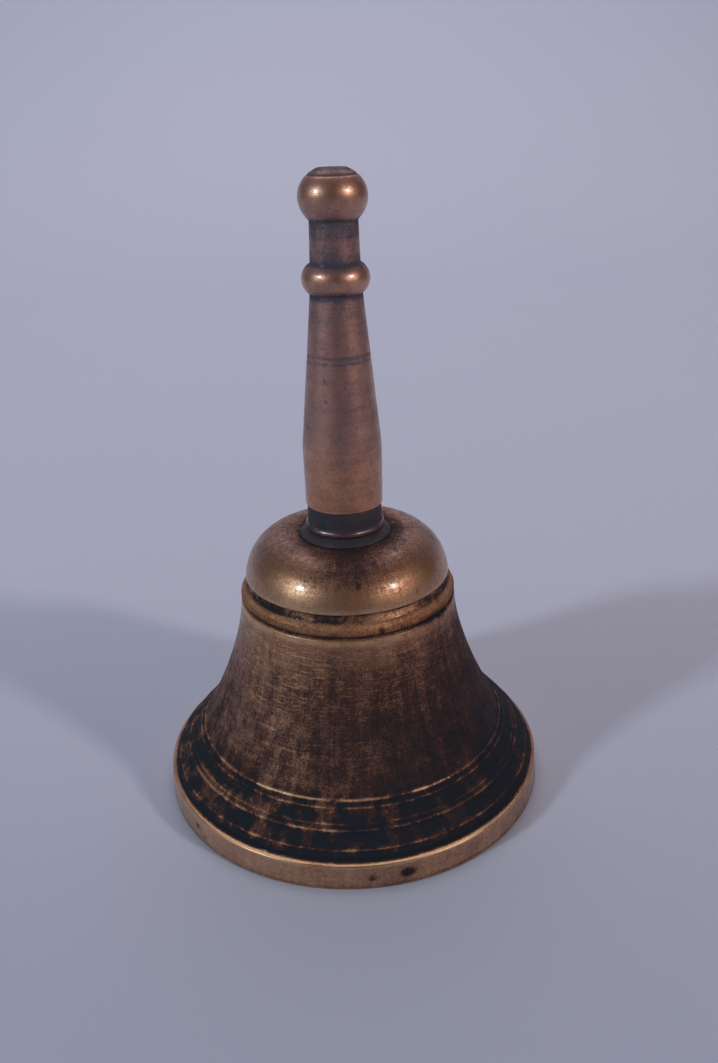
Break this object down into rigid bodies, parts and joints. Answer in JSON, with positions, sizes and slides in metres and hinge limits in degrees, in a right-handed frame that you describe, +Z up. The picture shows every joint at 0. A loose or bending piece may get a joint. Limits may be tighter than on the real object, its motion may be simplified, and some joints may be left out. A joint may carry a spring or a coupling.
{
  "type": "handbell",
  "caption": "Small metal handbell: flared cast bell with a plain rim band, turned grip with a ball end, and a clapper hung inside on a link so that it rings when shaken.",
  "frame": {"origin": "centre of the circle that the rim stands on", "axes": "+Z up the bell's axis towards the ball on the handle; the staple's eye lies in the XZ plane, so the clapper's main swing is towards +Y and -Y"},
  "size_m": [0.076, 0.076, 0.1179],
  "materials": {
    "aged_brass": "aged, satin, dark patina in the grooves",
    "dark_brass": "black-brown patina",
    "handle_bronze": "satin, reddish, handled",
    "staple_steel": "dull, oil-darkened",
    "nut_steel": "dull, oil-darkened",
    "washer_brass": "dull",
    "link_steel": "dull, oil-darkened",
    "rod_steel": "dull, oil-darkened",
    "ball_brass": "satin, with bright strike marks"
  },
  "bodies": {
    "bell": {"bell_shell": "aged_brass", "crown_collar": "dark_brass", "handle": "handle_bronze", "clapper_staple": "staple_steel", "staple_nut": "nut_steel", "nut_washer": "washer_brass"},
    "link": {"clapper_link": "link_steel"},
    "clapper": {"clapper_rod": "rod_steel", "clapper_ball": "ball_brass"}
  },
  "joints": [
    {"name": "clapper_swing", "type": "hinge", "parent": "bell", "child": "link", "pos_m": [0, 0, 0.0388], "axis": [1, 0, 0], "range_deg": [-35, 35]},
    {"name": "clapper_sway", "type": "hinge", "parent": "link", "child": "clapper", "pos_m": [0, 0, 0.0341], "axis": [0, 1, 0], "range_deg": [-14, 14]}
  ]
}
